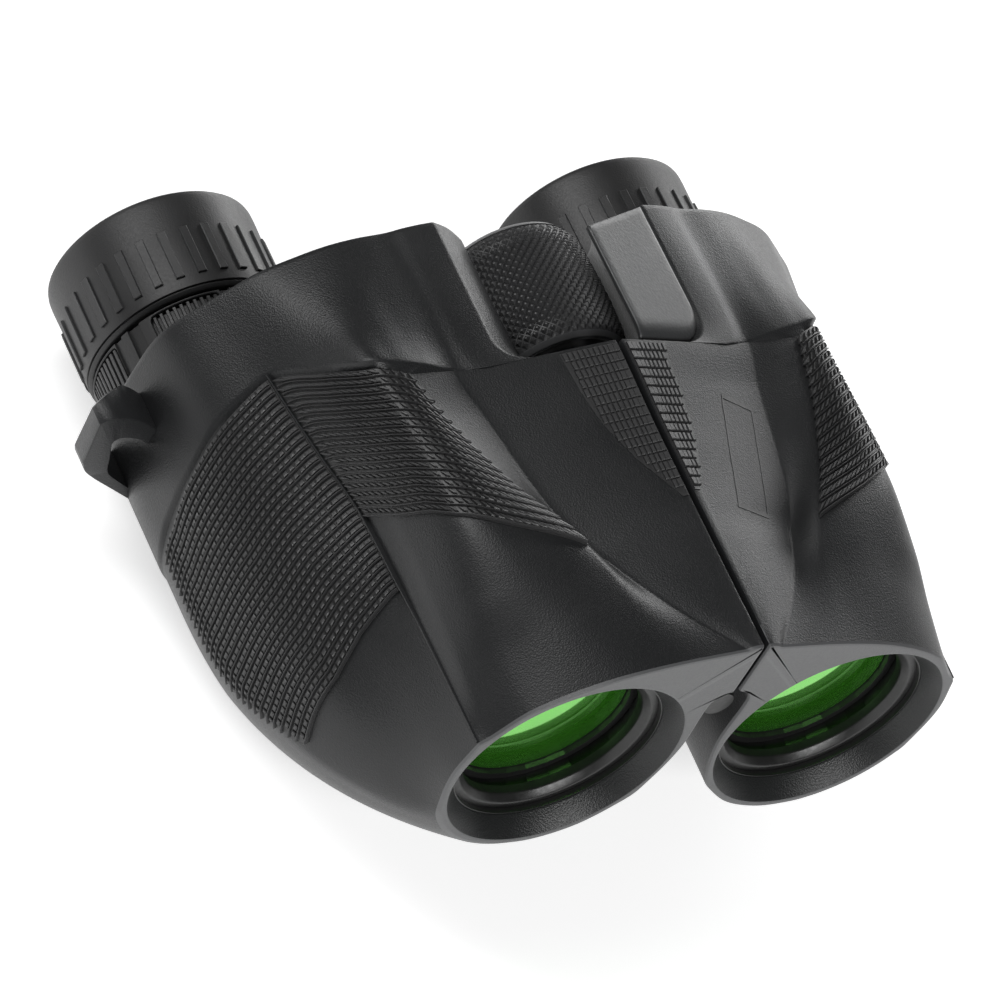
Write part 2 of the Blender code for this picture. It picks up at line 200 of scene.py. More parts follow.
def turned(name, profile, axis, side=LEFT, segments=96, smooth_angle=30.0):
    """Closed solid of revolution about a line along Y; profile of (y, radius)."""
    shell = Shell()
    a = np.linspace(0, 2 * math.pi, segments, endpoint=False)
    rows = [np.stack([axis[0] + r * np.cos(a), np.full(segments, y), axis[1] + r * np.sin(a)], -1)
            for y, r in [*profile, profile[0]]]
    shell.grid(rows, wrap=True)
    return shell.object(name, side, smooth_angle)


def rounded(profile, radius, steps=3):
    """Round the corners of a closed (y, r) profile; radius may be one per corner."""
    count = len(profile)
    radii = radius if hasattr(radius, "__len__") else [radius] * count
    out = []
    for i in range(count):
        before, here, after = (np.array(profile[(i + k) % count], float) for k in (-1, 0, 1))
        if radii[i] <= 0:
            out.append(tuple(here))
            continue
        a, b = before - here, after - here
        reach = min(radii[i], 0.45 * np.hypot(*a), 0.45 * np.hypot(*b))
        p, q = here + a / np.hypot(*a) * reach, here + b / np.hypot(*b) * reach
        for t in np.linspace(0, 1, steps + 1):
            out.append(tuple((1 - t) ** 2 * p + 2 * t * (1 - t) * here + t * t * q))
    return out


# ---------------------------------------------------------------- housing skin

def lower_circle(y):
    share = 1.0 - max(0.0, 1.0 - y / 50.0) ** 2.6
    centre = [o + (e - o) * share for o, e in zip(OBJECTIVE, EYEPIECE)]
    return centre, 18.2 + (16.3 - 18.2) * share - 0.5 * math.sin(math.pi * min(y / 34.0, 1.0))


def inner_edge(y, pocket):
    """Control points facing the hinge, from under the belly up to the top corner."""
    if not pocket:
        seam_z = float(curve([(0, -0.1), (36, 0.4), (50, 1.0), (76, 1.0)], y))
        return [(5.4, -32.1), (3.0, -23.0), (3.1, -13.2), (2.4, -11.4), (0.4, -10.4),
                (0.4, -7.0), (0.4, -3.5), (0.4, seam_z)]
    run = min(max(y - POCKET_Y, 0.0), POCKET_CORNER)
    rounding = POCKET_CORNER - math.sqrt(POCKET_CORNER ** 2 - (POCKET_CORNER - run) ** 2)
    wall = [(13.3, -34.5), (12.9, -25.0), (12.9, -15.0), (12.6, -11.5), (11.3, -8.2),
            (10.6, -6.7), (13.8, -4.0)]
    top = POCKET_HALF - rounding
    return [(x - rounding, z) for x, z in wall] + [(top, flat_z(top))]


VALLEY = ([(0, 2.6), (2.6, 4.6), (6, 7.3), (10.6, 10.5), (20, 15.6), (25, 17.9), (30, 19.4),
           (44, 22.1), (52, 23.9), (76, 24)],
          [(0, -0.6), (2.6, -1.0), (6, -1.6), (10.6, -2.4), (17, -3.5), (23, -4.4), (44, -4.2),
           (52, -3.7), (76, -3.9)])
CREST = ([(0, 14), (10, 16), (20, 19), (33, 25.7), (51, 31.5), (76, 30)],
         [(0, -1.9), (10, -1.6), (20, -1.1), (33, -2.3), (51, -3.1), (76, -6.0)],
         [(0, 28.6), (76, 28.6)],
         [(50, -2.4), (54, -2.8), (60, -3.4), (76, -4.5)])
TOP = ([(0, 24.0), (10, 26.5), (25, 30), (51, 33.4), (76, 34)],
       [(0, -4.3), (10, -3.0), (25, -1.3), (51, -3.1), (76, -7.0)],
       [(0, 32.2), (76, 32.8)],
       [(50, -2.1), (54, -2.6), (60, -3.6), (76, -5.7)])
SHOULDER = ([(0, 32.6), (16, 34.4), (28, 34.6), (51, 35.4), (76, 37.4)],
            [(0, -8.6), (9, -7.4), (16, -5.2), (28, -2.9), (51, -3.7), (76, -8.6)],
            [(0, 35.6), (76, 36.8)],
            [(50, -2.8), (54, -3.2), (62, -5.3), (76, -7.6)])
BROW = ([(0, 36.9), (20, 37.9), (45, 38.4), (57, 39.4), (76, 41.5)],
        [(0, -13.7), (20, -10.4), (57, -8.4), (76, -11.2)],
        [(0, 39.6), (57, 39.6), (76, 41.5)],
        [(50, -7.4), (57, -7.9), (62, -8.6), (76, -10.4)])
REAR_VALLEY_Z = [(50, -3.7), (54, -3.4), (60, -3.25), (76, -3.8)]
RIDGE_X = [(0, 38.3), (17, 38.6), (37, 39.3), (49, 41.6), (62, 43.8), (76, 45.6)]
SIDE_X = [(0, 39.35), (20, 43.0), (32, 45.2), (49, 47.8), (76, 51.3)]
FLANK_X = [(0, 38.0), (10, 43.5), (20, 47.4), (32, 49.8), (50, 51.8), (76, 52.7)]
BAND_PROUD = 0.55               # how far the rear band stands off the gripped skin


def controls(y, banded, pocket):
    """Control points of the +X half's section at y, seam corner first, outside in."""
    inner = inner_edge(y, pocket)
    proud = BAND_PROUD if banded else 0.0
    valley = (float(curve(VALLEY[0], y)),
              float(curve(REAR_VALLEY_Z if banded else VALLEY[1], y)))
    corner = inner[-1]
    flat = [(corner[0] + (valley[0] - corner[0]) * t,
             corner[1] + (valley[1] - corner[1]) * t + 0.22 * math.sin(math.pi * t))
            for t in (0.33, 0.66)]
    pick = 2 if banded else 0
    tracks = [(float(curve(t[pick], y)), float(curve(t[pick + 1], y)))
              for t in (CREST, TOP, SHOULDER, BROW)]
    ridge = (float(curve(RIDGE_X, y)) + proud, -15.0)
    side = (float(curve(SIDE_X, y)) + proud, -22.0)
    flank = (float(curve(FLANK_X, y)) + proud * 0.9, -30.0)
    centre, radius = lower_circle(y)
    start = float(curve([(0, -30), (30, -5), (50, 4), (76, 4)], y))
    spread = np.concatenate([np.linspace(start, -81, 6), np.linspace(-99, -140, 3)])
    grow = radius + proud * np.clip((spread + 60) / 60, 0, 1)
    belly = [(centre[0] + g * math.cos(math.radians(a)), max(
        centre[1] + g * math.sin(math.radians(a)), REST_Z)) for a, g in zip(spread, grow)]
    return [corner, *flat, valley, *tracks, ridge, side, flank, *belly, *inner[:-1]]


VALLEY_I, CREST_I, RIDGE_I = 3, 4, 8                # numbers of named control points
SHARP_FRONT = {0: 0.35, VALLEY_I: 0.3, RIDGE_I: 0.5, 24: 0.4}     # corner roundings in mm
SHARP_REAR = {0: 0.5, RIDGE_I: 2.0, 25: 0.5}
CONTROL_COUNT = 27
PER_SPAN = 9


def smooth_ring(points, sharp):
    """Dense closed ring through the controls; sharp ones get a small round instead."""
    count = len(points)
    p = np.array(points, float)
    out = []
    for i in range(count):
        p0, p1, p2, p3 = (p[(i + k) % count] for k in (-1, 0, 1, 2))
        span = np.hypot(*(p2 - p1)) + 1e-9
        m1 = (p2 - p1) if i in sharp else (p2 - p0) / (
            np.hypot(*(p2 - p1)) + np.hypot(*(p1 - p0)) + 1e-9) * span
        m2 = (p2 - p1) if (i + 1) % count in sharp else (p3 - p1) / (
            np.hypot(*(p3 - p2)) + np.hypot(*(p2 - p1)) + 1e-9) * span
        t = np.linspace(0, 1, PER_SPAN, endpoint=False)
        if i in sharp:
            t[1] = min(sharp[i] / span, t[1])
        if (i + 1) % count in sharp:
            t[-1] = max(1 - sharp[(i + 1) % count] / span, t[-1])
        t = t[:, None]
        out.append((2 * t ** 3 - 3 * t ** 2 + 1) * p1 + (t ** 3 - 2 * t ** 2 + t) * m1
                   + (3 * t ** 2 - 2 * t ** 3) * p2 + (t ** 3 - t ** 2) * m2)
    ring = np.concatenate(out)
    for i in sharp:
        k = i * PER_SPAN
        ring[k] = (ring[k - 1] + ring[(k + 1) % len(ring)] + 2 * ring[k]) / 4
    return ring


Y_STEP = 0.5
Y_GRID = np.arange(0, REAR_Y + Y_STEP / 2, Y_STEP)
FRONT = np.array([smooth_ring(controls(y, False, False), SHARP_FRONT) for y in Y_GRID])
REAR = np.array([smooth_ring(controls(y, True, y >= POCKET_Y - 0.01), SHARP_REAR)
                 for y in Y_GRID])
COLUMNS = FRONT.shape[1]


def skin(table, y, s):
    """Skin point at y and fractional column s."""
    y, s = np.broadcast_arrays(np.asarray(y, float), np.asarray(s, float))
    fy = np.clip(y / Y_STEP, 0, len(Y_GRID) - 1.001)
    iy = fy.astype(int)
    fy = (fy - iy)[..., None]
    i0 = np.floor(s).astype(int)
    fs = (s - i0)[..., None]
    a, b = i0 % COLUMNS, (i0 + 1) % COLUMNS
    xz = ((table[iy, a] * (1 - fs) + table[iy, b] * fs) * (1 - fy)
          + (table[iy + 1, a] * (1 - fs) + table[iy + 1, b] * fs) * fy)
    return np.stack([xz[..., 0], y, xz[..., 1]], -1)


def raised(y, s, height, table=None):
    """Skin point moved out along the normal by height."""
    table = FRONT if table is None else table
    y, s, height = np.broadcast_arrays(np.asarray(y, float), np.asarray(s, float),
                                       np.asarray(height, float))
    du = skin(table, y, s + 0.6) - skin(table, y, s - 0.6)
    dv = skin(table, y + 0.6, s) - skin(table, y - 0.6, s)
    normal = np.cross(du, dv)
    normal /= np.linalg.norm(normal, axis=-1, keepdims=True) + 1e-12
    return skin(table, y, s) + normal * height[..., None]


def column_where(axis, value, y, low, high):
    """Column between low and high where the front skin's x (0) or z (1) has a value."""
    cols = np.linspace(low, high, 200)
    p = skin(FRONT, y, cols)[:, 0 if axis == 0 else 2]
    return float(cols[np.argmin(np.abs(p - value))])


PLACE = np.arange(COLUMNS) / PER_SPAN          # column measured in control points
STEP_AT = [(CREST_I, 51.5), (5, 52.4), (6, 53.6), (7, 57.0), (RIDGE_I, 61.2), (9, 59.8),
           (10, 57.2), (11, 55.4), (12, 54.2), (13, 54.0), (16, 54.0), (18, POCKET_Y),
           (CONTROL_COUNT, POCKET_Y)]
STEP_Y = np.where(PLACE < CREST_I,
                  np.interp(PLACE, [0, 2, 3, 4], [POCKET_Y, POCKET_Y, 51.8, 51.5]),
                  curve(STEP_AT, PLACE))
STEP_RUN = np.interp(PLACE, [3, 4, 5, 6, 8, 9, 16, 18],
                     [0.02, 1.2, 1.0, 0.9, 0.8, 0.6, 0.5, 0.02])
FRONT_EDGE = 0.45               # rounding round the front face
REAR_EDGE = 0.5                 # the rounded rear rim starts this far from the end
LEDGE_SOFT = 0.3                # rounding of the band's front ledge


def inset_ring(ring, depth):
    """Closed ring of (x, z) moved inwards."""
    before, after = np.roll(ring, 2, 0), np.roll(ring, -2, 0)
    t = after - before
    n = np.stack([t[:, 1], -t[:, 0]], -1)
    n /= np.linalg.norm(n, axis=1, keepdims=True) + 1e-12
    return ring + n * depth


def with_y(ring, y):
    return np.stack([ring[:, 0], np.full(len(ring), float(y)), ring[:, 1]], -1)


def bore_mouth(face):
    """Rings round the objective bore, from the flat face down into the barrel."""
    spread = np.unwrap(np.arctan2(face[:, 1] - OBJECTIVE[1], face[:, 0] - OBJECTIVE[0]))
    spread = np.minimum.accumulate(spread)
    return [np.stack([OBJECTIVE[0] + r * np.cos(spread), np.full(COLUMNS, y),
                      OBJECTIVE[1] + r * np.sin(spread)], -1)
            for r, y in ((BORE_R + 0.34, 0.0), (BORE_R + 0.28, 0.0), (BORE_R + 0.08, 0.07),
                         (BORE_R - 0.08, 0.25),
                         (BORE_INNER_R + 0.1, CHAMFER_DEPTH - 0.12),
                         (BORE_INNER_R, CHAMFER_DEPTH + 0.1), (BORE_INNER_R, 7.2))]


def front_rim(side, mouth, edge, material):
    """Satin front face between the bore and the outer edge, in the lighter rim plastic: partly its
    own satin finish, partly painted highlight for the light on the front faces.
    """
    shell = Shell()
    lip = [with_y(inset_ring(FRONT[0], d), y) for d, y in ((0.48, 0.0), (0.42, 0.0), (0.14, 0.1))]
    shell.grid([*mouth[2::-1], *lip, edge], wrap=True)
    obj = shell.object(NAME[side] + "_front_rim", side, 32.0)
    finish_piece(obj, BODY[side], material, "satin")


def rear_band(shell, wall_low):
    """Step up to the proud rear band, the band itself and its rounded rear rim."""
    cols = np.arange(COLUMNS)
    ledge = np.maximum(STEP_Y, POCKET_Y) + STEP_RUN
    edge = skin(REAR, ledge, cols)
    soft = skin(REAR, ledge + LEDGE_SOFT, cols)
    drop = np.linalg.norm(edge - wall_low, axis=1, keepdims=True)
    near = edge + (wall_low - edge) * np.minimum(LEDGE_SOFT / np.maximum(drop, LEDGE_SOFT), 1.0)
    shell.grid([wall_low, near, (near + edge * 2 + soft) / 4, soft], wrap=True)
    rows = [ledge + LEDGE_SOFT + (REAR_Y - REAR_EDGE - ledge - LEDGE_SOFT) * k
            for k in np.linspace(0, 1, 46)]
    shell.grid([skin(REAR, r, cols) for r in rows], wrap=True)
    rim = ((0.12, REAR_Y - 0.14), (0.45, REAR_Y), (1.6, REAR_Y), (1.9, REAR_Y - 0.3), (1.95, 73.0))
    shell.grid([skin(REAR, rows[-1], cols), *[with_y(inset_ring(REAR[-1], d), y) for d, y in rim]],
               wrap=True)


def housing(side, material, rim_material):
    shell = Shell()
    cols = np.arange(COLUMNS)
    mouth = bore_mouth(FRONT[0])
    edge = raised(FRONT_EDGE, cols, 0.0)
    front_rim(side, mouth, edge, rim_material)
    shell.grid(mouth[:1:-1], wrap=True)
    shares = np.concatenate([[FRONT_EDGE / POCKET_Y], np.linspace(0.02, 1, 90)])
    front = [skin(FRONT, STEP_Y * share, cols) for share in shares]
    front[0] = edge
    shell.grid(front, wrap=True)
    rear_band(shell, front[-1])
    obj = shell.object(NAME[side] + "_housing_skin", side, 32.0)
    return finish_piece(obj, BODY[side], material, "housing", NAME[side] + "_housing")


# ---------------------------------------------------------------- grips

def row_columns(y, s0, s1, pitch, phase=0.0):
    """Columns spaced by pitch along the skin between s0 and s1 at y."""
    cols = np.linspace(s0, s1, 160)
    p = skin(FRONT, y, cols)
    run = np.concatenate([[0], np.cumsum(np.linalg.norm(np.diff(p, axis=0), axis=1))])
    marks = np.arange(phase, run[-1], pitch)
    return np.interp(marks, run, cols), run[-1]


def bead(shell, y0, y1, s, low, high):
    """Thin raised line along columns s, between y0 and y1 measured at each column."""
    rows = []
    for fy, h in ((0, low), (0.12, high * 0.7), (0.35, high), (0.65, high), (0.88, high * 0.7),
                  (1, low)):
        rows.append(raised(y0 + (y1 - y0) * fy, s, h))
    rows.append(rows[0])
    base = shell.grid(np.array(rows))
    cols, count = len(s), len(rows)
    for c in (0, cols - 1):
        ring = [base + r * cols + c for r in range(count - 1)]
        shell.faces.append(tuple(ring if c else reversed(ring)))


def tile(shell, front, rear, s0, s1, low, high, slant=0.0, bevel=0.16):
    """Raised pad with chamfered edges; front and rear give its edges' y at a column."""
    def ring(inset, h):
        ds = (s1 - s0) * inset
        ss = np.array([s0 + ds, s1 - ds, s1 - ds, s0 + ds]) + np.array([-1, -1, 1, 1]) * slant
        ys = np.array([front(ss[0]) + inset, front(ss[1]) + inset,
                       rear(ss[2]) - inset, rear(ss[3]) - inset])
        return raised(ys, ss, h)
    shell.pad([ring(0, low), ring(0, high - 0.14), ring(bevel, high)])


def grip(name, side, material, front_at, rear_at, left_at, right_at, rows, pad, slant, node,
         edge=(0.35, 0.35), tooth=0.0, line=0.30):
    """A rubber inlay whose rows blend from its front border to its rear one."""
    shell = Shell()

    def row_y(u):
        return lambda s: front_at(s) + (rear_at(s) - front_at(s)) * u
    low, high = [], []
    for u in np.linspace(0, 1, rows * 6 + 1):
        s0, s1 = left_at(u), right_at(u)
        cols = np.linspace(s0 + tooth * (1 - u * rows % 1.0), s1, 40)
        low.append(raised(row_y(u)(cols), cols, -0.25))
        high.append(raised(row_y(u)(cols), cols, 0.34))
    shell.slab(low, high)
    for k in range(rows):
        u = (k + 0.5) / rows
        front, rear = row_y(k / rows), row_y((k + 1) / rows)
        s0, s1 = left_at(u), right_at(u)
        cols = np.linspace(s0, s1, 160)
        p = skin(FRONT, row_y(u)(cols), cols)
        run = np.concatenate([[0], np.cumsum(np.linalg.norm(np.diff(p, axis=0), axis=1))])
        per_mm = (s1 - s0) / run[-1]
        beads = np.linspace(s0 + edge[0] * per_mm, s1 - edge[1] * per_mm, 60)
        bead(shell, front(beads) + 0.08, front(beads) + 0.08 + line, beads, 0.2, 0.76)
        for a in np.interp(np.arange(edge[0], run[-1] - edge[1] - pad * 0.7, pad), run, cols):
            tile(shell, lambda s: front(s) + line + 0.26, lambda s: rear(s) - 0.12,
                 a, a + per_mm * pad * 0.68, 0.2, 0.68, slant * per_mm)
    obj = shell.object(name, side, 28.0)
    return finish_piece(obj, BODY[side], material, "grip", node)


S_VALLEY, S_RIDGE = VALLEY_I * PER_SPAN, RIDGE_I * PER_SPAN
UPPER_IN = [(19.6, 18.5), (25.1, 21.6), (29.2, 23.7), (33.5, 25.7), (37.8, 27.5), (42.2, 29.0),
            (46.9, 30.3), (51.3, 31.4)]
UPPER_FRONT = [(19.6, 18.5), (22.0, 23.3), (25.0, 29.9), (28.0, 34.6), (30.4, 36.2)]
SIDE_FRONT = [(25.5, -15.7), (23.3, -21.5), (20.3, -27.0), (17.8, -36.0), (15.0, -43.0)]
SIDE_REAR = [(61.3, -15.7), (58.6, -24.0), (56.2, -31.0), (54.2, -37.0), (52.6, -43.0)]
SIDE_LOW = [(0.0, -38.4), (0.37, -43.0), (1.0, -43.0)]


def border(columns, ys):
    order = np.argsort(columns)
    return lambda s: np.interp(s, np.array(columns)[order], np.array(ys)[order])


def upper_borders():
    """Front and rear borders by column, and the inner one by share of the way back."""
    def column(y, x):
        return column_where(0, x, y, S_VALLEY, S_RIDGE)
    front = border([column(y, x) for y, x in UPPER_FRONT] + [S_RIDGE],
                   [y for y, x in UPPER_FRONT] + [37.6])
    rear = border(np.arange(S_RIDGE + 1), STEP_Y[:S_RIDGE + 1] - 0.3)
    columns = np.array([column(y, x) for y, x in UPPER_IN])
    ys = np.array([y for y, x in UPPER_IN])
    shares = (ys - front(columns)) / (rear(columns) - front(columns))
    order = np.argsort(shares)
    return front, rear, lambda u: float(np.interp(u, shares[order], columns[order]))


def side_borders():
    def column(y, z):
        return column_where(1, z, y, S_RIDGE, S_RIDGE + PER_SPAN * 5)
    front, rear = (border([column(*p) for p in line], [p[0] for p in line])
                   for line in (SIDE_FRONT, SIDE_REAR))
    low = border([p[0] for p in SIDE_LOW], [column(35.0, z) for u, z in SIDE_LOW])
    return front, rear, lambda u: float(low(u))


LEAF_PITCH, LEAF_PAD = 1.5, 0.78
LEAF_REAR = 50.6
LEAF = {LEFT: [(25.6, 1.4), (29.3, 3.4), (33.8, 5.1), (40.5, 6.5), (46.6, 7.2), (LEAF_REAR, 7.6)],
        RIGHT: [(24.8, 1.3), (32.1, 5.1), (38.3, 7.4), (44.6, 8.6), (LEAF_REAR, 9.1)]}


def leaf_edges(side):
    def inner(y):
        return column_where(0, 0.62, y, 0, S_VALLEY)

    def outer(y):
        return column_where(0, float(np.interp(y, *zip(*LEAF[side]))), y, 0, S_VALLEY)
    return inner, outer


def leaf(side, material):
    """Centre inlay beside the seam: rows of small pads with grooves between."""
    inner, outer = leaf_edges(side)
    start = LEAF[side][0][0] + 0.3
    shell = Shell()
    ys = np.linspace(start, 50.5, 60)
    low = [raised(y, np.linspace(inner(y), outer(y), 24), -0.25) for y in ys]
    high = [raised(y, np.linspace(inner(y), outer(y), 24), 0.12) for y in ys]
    shell.slab(low, high)
    last = LEAF_REAR - 0.2
    for k in range(int((last - start) / LEAF_PITCH)):
        y = last - LEAF_PITCH * (k + 1)
        middle = y + LEAF_PITCH / 2
        s0, s1 = inner(middle), outer(middle)
        cols, run = row_columns(middle, s0, s1, LEAF_PAD, 0.1)
        for a in cols:
            b = a + (s1 - s0) / max(run, 1e-6) * 0.58
            if b <= s1:
                tile(shell, lambda s: y + 0.16, lambda s: y + LEAF_PITCH - 0.06, a, b, 0.0, 0.40,
                     bevel=0.12)
    obj = shell.object(f"{NAME[side]}_centre_leaf", side, 28.0)
    return finish_piece(obj, BODY[side], material, "grip", f"{NAME[side]}_centre_grip")


RIDGE_WIDTH = 0.84              # in columns of the skin


def ridge_line(side, material):
    """Thin bead along the barrel's ridge, from the front face to the rear band."""
    shell = Shell()
    ys = np.linspace(0.6, 62.0, 90)
    growth = np.interp(ys, [0, 20, 27], [0.3, 0.5, 1.0])
    rows = [raised(ys, S_RIDGE + ds * RIDGE_WIDTH, h * growth)
            for ds, h in ((-0.5, -0.15), (-0.44, 0.4), (-0.25, 0.72), (0.25, 0.72), (0.44, 0.4),
                          (0.5, -0.15))]
    rows.append(rows[0])
    shell.grid(rows)
    obj = shell.object(f"{NAME[side]}_ridge_line", side, 50.0)
    return finish_piece(obj, BODY[side], material, "housing")


# ---------------------------------------------------------------- materials

class Graph:
    """A Principled material with a few helpers for its procedural nodes."""

    def __init__(self, name, roughness=0.5, metallic=0.0, **sockets):
        self.material = bpy.data.materials.new(name)
        self.material.use_nodes = True
        self.tree = self.material.node_tree
        self.shader = self.tree.nodes["Principled BSDF"]
        self.shader.inputs["Roughness"].default_value = roughness
        self.shader.inputs["Metallic"].default_value = metallic
        for key, value in sockets.items():
            self.shader.inputs[key.replace("_", " ")].default_value = value
        self.coordinates = self.tree.nodes.new("ShaderNodeTexCoord").outputs["Object"]

    def node(self, kind, **settings):
        node = self.tree.nodes.new(kind)
        for key, value in settings.items():
            if key in node.inputs:
                if hasattr(value, "node"):
                    self.tree.links.new(value, node.inputs[key])
                else:
                    node.inputs[key].default_value = value
            else:
                setattr(node, key, value)
        return node

    def noise(self, scale, detail=3.0, roughness=0.55):
        return self.node("ShaderNodeTexNoise", Vector=self.coordinates, Scale=scale,
                         Detail=detail, Roughness=roughness).outputs["Fac"]

    def cells(self, scale, feature="F1"):
        return self.node("ShaderNodeTexVoronoi", Vector=self.coordinates, Scale=scale,
                         feature=feature).outputs["Distance"]

    def ramp(self, value, low, high, a, b):
        """Map value between low and high to a..b, numbers or colours."""
        if hasattr(a, "__len__"):
            ramp = self.node("ShaderNodeValToRGB", Fac=value)
            ramp.color_ramp.elements[0].position = low
            ramp.color_ramp.elements[1].position = high
            ramp.color_ramp.elements[0].color = (*a, 1)
            ramp.color_ramp.elements[1].color = (*b, 1)
            return ramp.outputs["Color"]
        node = self.node("ShaderNodeMapRange")
        self.tree.links.new(value, node.inputs["Value"])
        for key, v in (("From Min", low), ("From Max", high), ("To Min", a), ("To Max", b)):
            node.inputs[key].default_value = v
        return node.outputs["Result"]

    def mix(self, factor, a, b):
        node = self.node("ShaderNodeMix", data_type="RGBA")
        for socket, value in zip((node.inputs[0], node.inputs[6], node.inputs[7]), (factor, a, b)):
            if hasattr(value, "node"):
                self.tree.links.new(value, socket)
            else:
                socket.default_value = (*value, 1) if hasattr(value, "__len__") else value
        return node.outputs[2]

    def add(self, a, b, operation="ADD"):
        node = self.node("ShaderNodeMath", operation=operation)
        for socket, value in zip(node.inputs, (a, b)):
            if hasattr(value, "node"):
                self.tree.links.new(value, socket)
            else:
                socket.default_value = value
        return node.outputs[0]

    def convex_edge_mask(self):
        """0 in flat places, rising on convex edges."""
        pointy = self.node("ShaderNodeNewGeometry").outputs["Pointiness"]
        return self.ramp(pointy, 0.5, 0.62, 0.0, 1.0)

    def bump(self, height, strength, distance):
        node = self.node("ShaderNodeBump", Height=height, Strength=strength, Distance=distance)
        self.tree.links.new(node.outputs[0], self.shader.inputs["Normal"])

    def colour(self, value):
        self.tree.links.new(value, self.shader.inputs["Base Color"])

    def rough(self, value):
        self.tree.links.new(value, self.shader.inputs["Roughness"])


def moulded(name, base, light, roughness, grain, bump, specular=0.5, edge_lift=0.35):
    """Black moulded plastic or rubber: fine grain, faint cloudiness, convex edges mixed lighter.
    """
    g = Graph(name, roughness, Specular_IOR_Level=specular)
    cloud = g.noise(45.0, 3.0)
    fine = g.cells(grain)
    tint = g.ramp(cloud, 0.3, 0.75, base, light)
    # convex edges, found by pointiness, are mixed towards a lighter colour
    edge_lightened = g.mix(g.add(g.convex_edge_mask(), edge_lift, "MULTIPLY"), tint, tuple(c * 2.2 for c in light))
    g.colour(edge_lightened)
    spots = g.noise(grain * 0.8, 2.0)
    g.rough(g.add(g.ramp(cloud, 0.3, 0.7, roughness - 0.05, roughness + 0.05),
                  g.ramp(spots, 0.35, 0.7, -0.04, 0.05)))
    height = g.add(fine, g.add(spots, 0.6, "MULTIPLY"))
    g.bump(height, bump, 0.00012)
    return g.material


def make_materials():
    m = {
        "housing": moulded("leather_grain_plastic", (0.011, 0.0115, 0.0122),
                           (0.015, 0.0155, 0.0162), 0.40, 4200.0, 0.24, 0.42),
        "grip": moulded("grip_rubber", (0.018, 0.018, 0.0185), (0.026, 0.026, 0.0265),
                        0.42, 4200.0, 0.12, 0.55),
        # the wheel rubber is lighter than the other rubber: partly its own lighter rubber, partly
        # painted light that makes up for the shade in the wheel pocket
        "wheel": moulded("wheel_rubber_painted_fill_light", (0.030, 0.030, 0.031), (0.040, 0.040, 0.041),
                         0.46, 4200.0, 0.1, 0.45),
        "rubber": moulded("eyecup_rubber", (0.013, 0.013, 0.0135), (0.018, 0.018, 0.0185),
                          0.46, 4200.0, 0.12, 0.5),
        "satin": moulded("satin_plastic", (0.030, 0.031, 0.032), (0.038, 0.039, 0.040),
                         0.38, 2400.0, 0.08, 0.5, 0.2),
        # the rim plastic is a lighter copy of the satin plastic: partly its own satin finish,
        # partly painted highlight standing in for the light on the front faces; the wheel hub uses
        # it too
        "rim": moulded("front_rim_satin_painted_highlight", (0.070, 0.071, 0.073), (0.080, 0.081, 0.083),
                       0.42, 4200.0, 0.08, 0.5, 0.2),
        "inner": moulded("inner_black", (0.010, 0.010, 0.010), (0.016, 0.016, 0.016),
                         0.40, 1800.0, 0.06, 0.45, 0.15),
        "gloss": moulded("glossy_ring", (0.008, 0.008, 0.008), (0.012, 0.012, 0.012),
                         0.34, 1500.0, 0.03, 0.5, 0.1),
    }
    m["green"] = coated_glass("green_coated_glass")
    m["clear"] = clear_glass("coated_eye_glass")
    m["steel"] = steel("turned_steel")
    return m


def coated_glass(name):
    """Objective glass: dark inside, a green reflecting coat with a slight mottle."""
    g = Graph(name, 0.06, 0.85, Coat_Weight=1.0, Coat_Roughness=0.03,
              Coat_Tint=(0.75, 1.0, 0.6, 1.0))
    mottle = g.noise(60.0, 2.0)
    g.colour(g.ramp(mottle, 0.35, 0.7, (0.16, 0.55, 0.08), (0.22, 0.66, 0.12)))
    g.rough(g.ramp(g.noise(400.0, 2.0), 0.3, 0.7, 0.045, 0.075))
    g.bump(g.noise(300.0, 2.0), 0.02, 0.0001)
    return g.material


def clear_glass(name):
    g = Graph(name, 0.05, 0.0, Transmission_Weight=0.9, IOR=1.5, Coat_Weight=0.6,
              Coat_Roughness=0.03, Coat_Tint=(0.7, 0.8, 1.0, 1.0))
    g.colour(g.ramp(g.noise(80.0, 2.0), 0.3, 0.7, (0.70, 0.78, 0.90), (0.82, 0.88, 0.97)))
    g.rough(g.ramp(g.noise(500.0, 2.0), 0.3, 0.7, 0.03, 0.07))
    g.bump(g.noise(350.0, 2.0), 0.02, 0.0001)
    return g.material


def steel(name):
    g = Graph(name, 0.3, 1.0)
    lines = g.node("ShaderNodeTexWave", Vector=g.coordinates, Scale=900.0, Distortion=1.5,
                   Detail=2.0, bands_direction="Y").outputs["Fac"]
    g.colour(g.ramp(g.noise(90.0), 0.3, 0.75, (0.42, 0.43, 0.45), (0.58, 0.59, 0.61)))
    g.rough(g.ramp(lines, 0.0, 1.0, 0.24, 0.38))
    g.bump(lines, 0.12, 0.00004)
    return g.material


# ---------------------------------------------------------------- small assemblies

def grips(side, m):
    name = NAME[side]
    front, rear, inner = upper_borders()
    grip(name + "_upper_pads", side, m["grip"], front, rear, inner, lambda u: S_RIDGE - 0.5, 17,
         1.15, 0.35, name + "_upper_grip", edge=(0.3, 0.3), tooth=0.35)
    front, rear, low = side_borders()
    grip(name + "_side_pads", side, m["grip"], front, rear, lambda u: S_RIDGE + 0.6, low, 28,
         1.12, 0.0, name + "_side_grip", edge=(0.2, 0.2))
    leaf(side, m["grip"])
    ridge_line(side, m["housing"])


# ---------------------------------------------------------------- wheel, rings, eyecups

def around(axis, angle, radius, y):
    angle, radius, y = np.broadcast_arrays(angle, radius, y)
    return np.stack([axis[0] + radius * np.cos(angle), y, axis[1] + radius * np.sin(angle)], -1)


